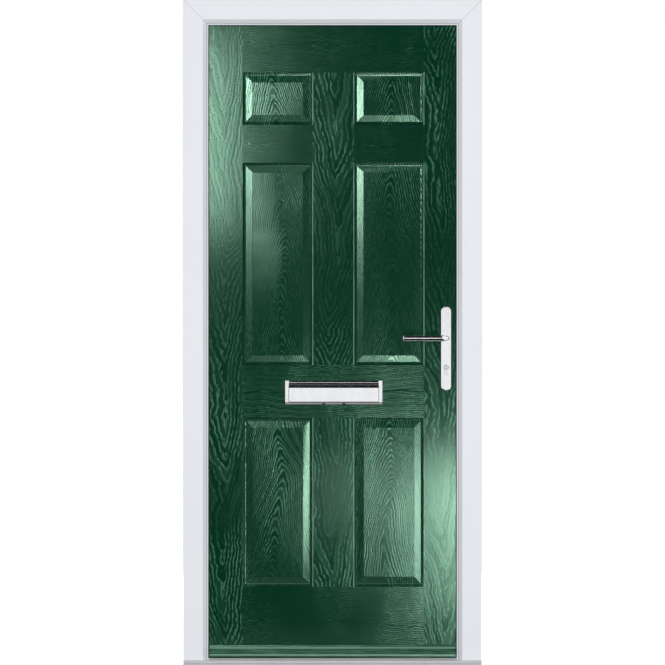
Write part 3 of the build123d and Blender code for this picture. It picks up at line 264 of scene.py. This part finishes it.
def grain(finish):
    """The grain's sunk lines with their relief, its marks (on the green skin a painted sheen), its open
    flames and its fibres.
    """
    upright, across, along, in_panel, seed = board(finish)

    def by_board(rail, stile, panel):
        return finish.choose(upright, rail, finish.choose(in_panel, stile, panel))

    def board_noise(pitch, detail, roughness=0.5):
        place = finish.vector(finish.math("MULTIPLY", across, pitch[0]),
                              finish.math("MULTIPLY", along, pitch[1]), seed)
        return finish.noise(place, detail, roughness)

    sway_place = finish.vector(seed, finish.math("MULTIPLY", along, sway_pitch), sway_seed)
    sway = finish.math("SUBTRACT", finish.noise(sway_place, detail=2.0), 0.5)
    sway = finish.math("MULTIPLY", sway, 2 * heart_sway)
    off_heart = finish.math("ADD", across, sway)
    round_off = finish.choose(in_panel, stile_heart ** 2, panel_heart ** 2)
    heart = finish.math("SQRT", finish.math("MULTIPLY_ADD", off_heart, off_heart, round_off))

    fibres = board_noise(fibre_pitch, detail=3.0, roughness=0.6)
    rings = finish.math("MULTIPLY", board_noise(broad_pitch, detail=1.0), broad_shift)
    rings = finish.math("MULTIPLY_ADD", by_board(0.0, stile_climb, panel_climb), along, rings)
    rings = finish.math("MULTIPLY_ADD", heart, by_board(rail_lines, stile_lines, panel_lines), rings)
    rings = finish.math("MULTIPLY_ADD", board_noise(wavy_pitch, detail=2.0), wavy_shift, rings)
    rings = finish.math("MULTIPLY_ADD", board_noise(jagged_pitch, detail=1.0), jagged_shift, rings)
    rings = finish.math("MULTIPLY_ADD", fibres, finish.choose(in_panel, stile_fray, panel_fray), rings)
    turn = finish.math("MULTIPLY", rings, math.pi)

    _, _, z = finish.axes()
    openness = finish.choose(finish.between(z, *lock_rail), rail_flames, lock_rail_flames)
    openness = finish.choose(upright, openness, 1.0)
    line = finish.math("SUBTRACT", 1.0, finish.math("ABSOLUTE", finish.math("SINE", turn)))
    mark = finish.math("MULTIPLY", finish.fade(line, 0.3, 0.65), openness)
    flame = finish.fade(finish.math("SINE", finish.math("MULTIPLY", turn, 2 / 3)), -0.1, 0.35)
    flame = finish.math("MULTIPLY", flame, openness)
    line = finish.math("MULTIPLY", line, by_board(rail_relief, stile_relief, panel_relief))
    return line, mark, flame, fibres


def painted_edge_highlight(finish):
    """A painted highlight along the edges of the mullion and the lock stile, where they drop to the
    panels, stronger in patches.
    """
    x, _, z = finish.axes()
    by_edge = 0.0
    for edge in (*mullion_edges, stile_edges[1]):
        by_edge = finish.math("MAXIMUM", by_edge, finish.fine_line(finish.off(x, edge), edge_highlight_line))
    highlight_patches = finish.fade(finish.cloud((1.0, 1.0, 9.0)), 0.3, 0.6, 0.3, 0.8)
    return finish.math("MULTIPLY", finish.math("MULTIPLY", by_edge, in_panel_rows(finish, z)), highlight_patches)


def grained_finish(name, smooth, opened, marked, edge_highlight_colour, gloss, relief, **sheen):
    """A moulded skin: smooth glossy bands between open flames, with the grain's lines sunk into both.

    It takes the colours of the bands, the flames, the lines (on the green skin a painted sheen) and the
    painted highlight on the edges, the roughness of bands and flames, and the depth of the lines in
    metres.
    """
    finish = Finish(name)
    line, mark, flame, fibres = grain(finish)
    _, _, z = finish.axes()
    strong = finish.math("MAXIMUM", finish.fade(z, *head_fade, faint_grain, head_grain),
                         finish.fade(z, *foot_fade, foot_grain, faint_grain))
    flame = finish.math("MULTIPLY", flame, finish.math("MULTIPLY_ADD", strong, 0.8, 0.2))
    cloud = finish.cloud((5.0, 5.0, 2.5), detail=2.0)
    open_share = finish.math("MULTIPLY", flame, finish.fade(cloud, 0.35, 0.6, 0.3, 1.0))
    patchy = finish.fade(finish.cloud((9.0, 9.0, 3.5), detail=2.0), 0.38, 0.6, 0.1, 1.0)
    patchy = finish.math("MULTIPLY", patchy, strong)
    feathered = finish.math("MULTIPLY", mark, finish.fade(fibres, 0.4, 0.56, 0.1, 1.0))

    base = finish.blend(open_share, smooth, opened)
    # Marks along the grain's lines: a tone of the grain, and on the green skin a painted sheen where the
    # lines catch light
    base = finish.blend(finish.math("MULTIPLY", feathered, patchy), base, marked)
    # Painted highlight on the edges of the mullion and the lock stile
    base = finish.blend(painted_edge_highlight(finish), base, edge_highlight_colour)
    rough_share = finish.math("MAXIMUM", open_share, feathered)
    roughness = finish.math("MULTIPLY_ADD", rough_share, gloss[1] - gloss[0], gloss[0])
    sunk = finish.math("MULTIPLY", line, finish.fade(cloud, 0.3, 0.65, -0.35, -1.0))
    normal = finish.bump(sunk, relief)
    fibre_share = finish.math("MULTIPLY_ADD", open_share, 0.75, 0.25)
    normal = finish.bump(finish.math("MULTIPLY", fibres, fibre_share), fibre_depth, under=normal)
    return finish.surface(Base_Color=base, Roughness=roughness, Normal=normal, **sheen)


def green_skin():
    # The pale marks are a painted sheen, and the edges get a painted highlight
    return grained_finish(
        "green_skin", smooth=colour(0, 43, 27), opened=colour(2, 49, 32),
        marked=colour(66, 114, 90), edge_highlight_colour=colour(126, 166, 146), gloss=(0.155, 0.25), relief=0.0002,
        Specular_Tint=green_gloss, Specular_IOR_Level=green_specular)


def white_skin():
    # The edges get a painted highlight
    return grained_finish(
        "white_skin", smooth=colour(232, 234, 235), opened=colour(230, 232, 233),
        marked=colour(222, 224, 226), edge_highlight_colour=colour(236, 238, 239), gloss=(0.28, 0.44), relief=0.0003,
        Specular_IOR_Level=0.4)


# The other finishes
def green_paint():
    finish = Finish("green_paint")
    streaks = finish.cloud((14.0, 240.0, 240.0), detail=4.0)
    base = finish.blend(finish.fade(streaks, 0.35, 0.7), colour(20, 60, 42), colour(58, 96, 76))
    _, _, z = finish.axes()
    # Painted highlight along the weatherbar's two ridges
    for ridge in weatherbar_ridges:
        ridge_highlight = finish.fine_line(finish.off(z, ridge), ridge_highlight_line, strength=0.6)
        base = finish.blend(ridge_highlight, base, colour(140, 178, 158))
    return finish.surface(Base_Color=base, Roughness=0.36, Normal=finish.bump(streaks, 0.0003),
                          Specular_Tint=green_gloss, Specular_IOR_Level=green_specular)


def white_profile():
    """Extruded white plastic, drawn grey on its lip behind the face, with the welded mitres' fine lines
    across the corners.
    """
    finish = Finish("white_profile")
    x, y, z = finish.axes()
    slant = finish.math("SUBTRACT", finish.math("ABSOLUTE", x), z)
    mitre = finish.fine_line(finish.off(slant, outer_corner.x - outer_corner.z), mitre_line)
    lip = finish.fine_line(finish.off(y, lip_depth), lip_line)
    base = finish.blend(finish.cloud((2.5, 2.5, 2.5)), colour(232, 234, 238), colour(226, 229, 234))
    base = finish.blend(finish.math("MULTIPLY", mitre, 0.45), base, colour(170, 172, 176))
    # The lip behind the face is drawn grey
    base = finish.blend(lip, base, colour(174, 178, 182))
    normal = finish.bump(finish.cloud((160.0, 160.0, 2.0)), 0.00003)
    normal = finish.bump(finish.math("SUBTRACT", 0.0, mitre), 0.0004, under=normal)
    return finish.surface(Base_Color=base, Roughness=0.42, Normal=normal, Specular_IOR_Level=0.3)


def metal(name, low, high, gloss, pitch, depth=0.00002, metallic=1.0):
    """A metal between two colours, with fine marks; an anodised one is less than fully metallic."""
    finish = Finish(name)
    marks, roughness = finish.marked(pitch, gloss)
    return finish.surface(Base_Color=finish.blend(finish.cloud((9.0, 9.0, 9.0)), low, high),
                          Roughness=roughness, Metallic=metallic, Normal=finish.bump(marks, depth))


def chrome():
    return metal("chrome", colour(232, 234, 238), colour(244, 245, 247), chrome_gloss, chrome_pitch,
                 depth=chrome_depth)


def letterplate_chrome():
    """The letterplate frame's chrome: painted shade as a dark line round the flap, and a foot drawn darker
    where it faces the ground.
    """
    finish = Finish("letterplate_chrome")
    low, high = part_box("outer_flap")
    x, _, z = finish.axes()
    beyond = [finish.math("SUBTRACT", finish.off(value, (low[axis] + high[axis]) / 2),
                          (high[axis] - low[axis]) / 2)
              for value, axis in ((x, 0), (z, 2))]
    # Painted shade in the gap round the flap
    joint_shade = finish.fine_line(finish.math("MAXIMUM", *beyond), flap_joint_shade, strength=0.85)
    # Painted shade: the foot below the flap, which faces the ground, is drawn darker
    foot = finish.math("LESS_THAN", z, low[2])
    base = finish.blend(finish.math("MULTIPLY", foot, 0.8), colour(240, 241, 243), colour(98, 106, 102))
    base = finish.blend(joint_shade, base, colour(38, 42, 41))
    marks, roughness = finish.marked(chrome_pitch, handled_gloss)
    return finish.surface(Base_Color=base, Roughness=roughness, Metallic=1.0,
                          Normal=finish.bump(marks, chrome_depth))


def cylinder_chrome(node):
    """The cylinder's chrome, with painted shade in the keyway and wherever it lies deeper behind its
    faces, and in the gap round the plug.
    """
    finish = Finish(node + "_chrome")
    plug_low, plug_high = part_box("cylinder_plugs")
    low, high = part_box(node)
    x, y, z = finish.axes()
    depth = finish.math("MINIMUM", finish.math("SUBTRACT", y, low[1]), finish.math("SUBTRACT", high[1], y))
    off_x = finish.math("SUBTRACT", x, (plug_low[0] + plug_high[0]) / 2)
    off_z = finish.math("SUBTRACT", z, (plug_low[2] + plug_high[2]) / 2)
    from_axis = finish.math("MULTIPLY_ADD", off_x, off_x, finish.math("MULTIPLY", off_z, off_z))
    off_joint = finish.off(finish.math("SQRT", from_axis), (plug_high[0] - plug_low[0]) / 2)
    joint_shade = finish.fine_line(off_joint, plug_joint_shade, strength=0.8)
    # Painted shade round the plug and deeper than about a millimetre behind the faces, as in the keyway
    shaded = finish.math("MAXIMUM", joint_shade, finish.fade(depth, 0.0004, 0.0016, 0.0, 0.95))
    base = finish.blend(shaded, colour(232, 234, 238), colour(26, 27, 28))
    _, roughness = finish.marked(chrome_pitch, handled_gloss)
    return finish.surface(Base_Color=base, Roughness=roughness, Metallic=1.0)


def stainless_steel():
    return metal("stainless_steel", colour(186, 188, 190), colour(208, 210, 212), (0.26, 0.42),
                 (900.0, 900.0, 18.0))


def aluminium():
    return metal("aluminium", colour(196, 198, 201), colour(212, 213, 216), (0.4, 0.52),
                 (12.0, 900.0, 900.0), metallic=0.45)


def galvanised_steel():
    """Zinc-coated steel with its crystals."""
    finish = Finish("galvanised_steel")
    crystals = finish.add("ShaderNodeTexVoronoi", {"Vector": finish.place, "Scale": 160.0})
    tone = finish.add("ShaderNodeSeparateXYZ", {0: crystals.outputs["Color"]}).outputs[0]
    base = finish.blend(tone, colour(158, 162, 166), colour(196, 199, 202))
    return finish.surface(Base_Color=base, Roughness=finish.fade(tone, 0.0, 1.0, 0.32, 0.5), Metallic=1.0)


def timber():
    finish = Finish("timber")
    rings = finish.cloud((90.0, 90.0, 3.0), detail=5.0, distortion=0.6)
    pores = finish.cloud((700.0, 700.0, 22.0))
    base = finish.blend(finish.fade(rings, 0.3, 0.7), colour(150, 104, 62), colour(196, 150, 100))
    base = finish.blend(finish.fade(pores, 0.5, 0.75, 0.0, 0.5), base, colour(110, 72, 40))
    return finish.surface(Base_Color=base, Roughness=0.55, Normal=finish.bump(pores, 0.0001))


def speckled(name, pitch, low, high, roughness, depth, detail=3.0):
    """A plain material between two colours, with a fine relief where the colour changes."""
    finish = Finish(name)
    specks = finish.cloud((pitch, pitch, pitch), detail)
    return finish.surface(Base_Color=finish.blend(specks, low, high), Roughness=roughness,
                          Normal=finish.bump(specks, depth))


finishes = {
    "white_profile": white_profile(), "galvanised_steel": galvanised_steel(),
    "stainless_steel": stainless_steel(), "aluminium": aluminium(), "chrome": chrome(),
    "green_skin": green_skin(), "white_skin": white_skin(), "green_paint": green_paint(),
    "timber": timber(),
    "seal_rubber": speckled("seal_rubber", 900.0, colour(24, 25, 26), colour(40, 41, 43),
                            roughness=0.62, depth=0.00005),
    "foam": speckled("foam", 700.0, colour(196, 178, 120), colour(232, 220, 172),
                     roughness=0.9, depth=0.0004, detail=2.0),
    "white_metal": speckled("white_metal", 420.0, colour(226, 228, 230), colour(238, 240, 241),
                            roughness=0.34, depth=0.00008),
}


def wear(node, material):
    """Gives a node its material in every slot."""
    for slot in nodes[node].material_slots:
        slot.material = material


for name, node in nodes.items():
    wear(name, finishes[node.material_slots[0].material.name.split(".")[0]])
wear("letterplate_outer_frame", letterplate_chrome())
for name in ("cylinder_body", "cylinder_plugs"):
    wear(name, cylinder_chrome(name))


# Small radii on the edges of the moulded skins
def soften(node, width, segments, angle):
    """Rounds a node's edges a little where its faces meet at more than an angle in degrees."""
    piece = nodes[node]
    weld = piece.modifiers.new("weld", "WELD")
    weld.merge_threshold = 1e-6
    flatten = piece.modifiers.new("flatten", "DECIMATE")
    flatten.decimate_type = "DISSOLVE"
    flatten.angle_limit = math.radians(0.5)
    bevel = piece.modifiers.new("bevel", "BEVEL")
    bevel.width = width
    bevel.segments = segments
    bevel.angle_limit = math.radians(angle)
    bevel.harden_normals = True


for name in ("outer_skin", "inner_skin"):
    soften(name, width=0.0014, segments=3, angle=8.0)


# The dark lip of the frame's seal, which shows as a thin line round the leaf and also stands in for the
# painted shade in the gap between frame and leaf
def seal_lip_and_gap_shade():
    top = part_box("frame_head")[0][2] + seal_sunk
    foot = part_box("threshold")[1][2]
    corners = []
    for reach, depth in seal_profile:
        side, head = seal_side - reach, top - reach
        corners += [(-side, depth, foot), (-side, depth, head), (side, depth, head), (side, depth, foot)]
    rows = len(seal_profile)
    faces = []
    for row in range(rows):
        after = (row + 1) % rows
        for step in range(3):
            here, there = row * 4 + step, after * 4 + step
            faces.append((here, here + 1, there + 1, there))
    faces.append([row * 4 for row in range(rows)])
    faces.append([row * 4 + 3 for row in reversed(range(rows))])
    mesh = bpy.data.meshes.new("seal_lip_and_gap_shade")
    mesh.from_pydata(corners, [], faces)
    lip = bpy.data.objects.new("seal_lip_and_gap_shade", mesh)
    bpy.context.collection.objects.link(lip)
    mesh.materials.append(finishes["seal_rubber"])
    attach(lip, "frame")


seal_lip_and_gap_shade()


# The studio: a pale floor, a white surround, black cloths that show in the gloss, and soft lamps
def plane(name, centre, width, height, turn, material):
    """A flat stage sheet; turn is its tilt about X in degrees."""
    across, up = width / 2, height / 2
    corners = [(-across, -up, 0), (across, -up, 0), (across, up, 0), (-across, up, 0)]
    mesh = bpy.data.meshes.new(name)
    mesh.from_pydata(corners, [], [(0, 1, 2, 3)])
    mesh.materials.append(material)
    sheet = bpy.data.objects.new(name, mesh)
    sheet.location = centre
    sheet.rotation_euler = (math.radians(turn), 0, 0)
    bpy.context.collection.objects.link(sheet)
    return sheet


def make_floor(seen_grey, lit_grey, glow):
    """A floor that glows white in the picture and in gloss, and sends little light back to the door."""
    finish = Finish("floor")
    path = finish.add("ShaderNodeLightPath")
    grey = finish.blend(path.outputs["Is Camera Ray"], (lit_grey, lit_grey, lit_grey, 1.0),
                        (seen_grey, seen_grey, seen_grey, 1.0))
    lit = finish.add("ShaderNodeBsdfDiffuse", {"Color": grey})
    strength = finish.math("MULTIPLY", finish.seen_share(), glow)
    glowing = finish.add("ShaderNodeEmission", {"Color": white, "Strength": strength})
    finish.end(finish.add("ShaderNodeAddShader", {0: lit.outputs[0], 1: glowing.outputs[0]}))
    plane("floor", (0, 0, 0), 90.0, 90.0, 0.0, finish.material)


def make_cloths(x, width):
    """Black cloths in front of the door, on the ground and above it, which only reflections see."""
    finish = Finish("flag")
    finish.end(finish.add("ShaderNodeBsdfDiffuse", {"Color": (0.01, 0.01, 0.01, 1.0)}))
    for sheet in (plane("flag", (x, -4.0, 3.0), width, 6.0, 90.0, finish.material),
                  plane("mat", (x, -2.04, 0.01), width, 3.92, 0.0, finish.material),
                  plane("canopy", (x, -1.5, 6.0), width, 5.0, 0.0, finish.material)):
        sheet.visible_camera = False
        sheet.visible_diffuse = False
        sheet.visible_shadow = False


def make_surround(level):
    """A world that shows white in the picture and in gloss, and lights the door at a lower level."""
    world = bpy.data.worlds.new("surround")
    world.use_nodes = True
    shader = Shader(world.node_tree)
    inputs = {"Value": shader.seen_share(), "To Min": level, "To Max": 1.0}
    strength = shader.add("ShaderNodeMapRange", inputs).outputs[0]
    background = shader.add("ShaderNodeBackground", {"Color": white, "Strength": strength})
    shader.end(background, "ShaderNodeOutputWorld")
    bpy.context.scene.world = world


def lamp(name, place, target, width, height, brightness, lights, only=()):
    """A soft box that the camera doesn't see, which lights "surfaces" or shows in their "gloss".

    With only, it falls on no other nodes than those named.
    """
    data = bpy.data.lights.new(name, "AREA")
    data.shape = "RECTANGLE"
    data.size, data.size_y = width, height
    data.energy = brightness * math.pi * width * height
    box = bpy.data.objects.new(name, data)
    box.location = place
    aim = Vector(target) - Vector(place)
    box.rotation_euler = aim.to_track_quat("-Z", "Y").to_euler()
    box.visible_camera = False
    box.visible_diffuse = lights == "surfaces"
    box.visible_glossy = lights == "gloss"
    bpy.context.collection.objects.link(box)
    if only:
        lit = bpy.data.collections.new(name + "_lit")
        for node in only:
            lit.objects.link(nodes[node])
        box.light_linking.receiver_collection = lit


make_floor(seen_grey=0.9, lit_grey=0.25, glow=0.8)
make_cloths(x=0.15, width=1.7)
make_surround(0.28)
lamp("lamp_front", (0.4, -8.0, 1.5), (0, 0, 1.0), 3.0, 3.0, 19.0, "surfaces")
lamp("lamp_back", (0.6, 4.0, 2.4), (0, 0, 1.0), 2.4, 2.0, 8.6, "surfaces")


# Cards that show in the gloss: first those of the green leaf, and then those of the chrome
green = ("outer_skin", "weatherbar")
plates = ("outer_backplate", "outer_flap", "letterplate_outer_frame", "cylinder_body", "cylinder_plugs")
card_row = -2.2  # how far in front of the door the upright cards stand
ground_lean = (-0.225, 0.974)  # of the ground cards' aim, which keeps the leaf's foot behind them


def card(name, x, z, width, height, brightness, only=green, y=card_row):
    """An upright card that faces the door."""
    lamp(name, (x, y, z), (x, 0, z), width, height, brightness, "gloss", only=only)


def ground_card(name, x, y, width, depth, brightness):
    """A card near the ground, leant back so that the leaf's foot is behind it."""
    z = 0.12
    lamp(name, (x, y, z), (x, y + ground_lean[0], z + ground_lean[1]), width, depth, brightness, "gloss",
         only=green)


card("card_left", -1.30, 1.805, 1.83, 0.69, 65.0)
card("card_side", -1.74, 1.93, 0.6, 0.42, 150.0, y=-2.15)
card("card_left_low", -1.30, 1.25, 1.84, 0.30, 1.4)
card("card_right", 1.28, 0.430, 1.84, 0.30, 88.0)
card("card_right_low", 1.29, 0.16, 1.86, 0.24, 58.0)
card("card_right_soft", 0.14, 0.46, 0.38, 0.26, 13.0)
lamp("card_top", (-0.1, -2.2, 2.95), (0, 0, 1.5), 1.2, 0.3, 16.0, "gloss", only=green)
ground_card("card_low", 0.34, -1.45, 0.56, 0.75, 100.0)
ground_card("card_low_left", -0.24, -1.45, 0.5, 0.75, 10.0)
lamp("card_foot", (0.1, -0.4, 0.03), (0.1, -0.4, 1.0), 1.4, 0.5, 2.4, "gloss", only=green)
card("card_plates", 0.15, 0.93, 0.9, 0.62, 0.97, plates)
card("card_lever", 0.33, 1.02, 0.2, 0.5, 2.6, ("outer_lever",))


# The camera, straight in front, far off as the photograph's lens was
image_pixels = 665
pixel = 0.00315  # metres on the frame's face
ground_row = 666.5  # the photograph's row at the foot of the frame
lens, sensor = 200.0, 36.0

camera_data = bpy.data.cameras.new("camera")
camera_data.lens = lens
camera_data.sensor_width = sensor
camera_data.clip_end = 200.0
camera = bpy.data.objects.new("camera", camera_data)
reach = image_pixels * pixel * lens / sensor
camera.location = (0.0, -reach, (ground_row - image_pixels / 2) * pixel)
camera.rotation_euler = (math.radians(90), 0, 0)
bpy.context.collection.objects.link(camera)
bpy.context.scene.camera = camera
bpy.context.scene.view_settings.view_transform = "Standard"
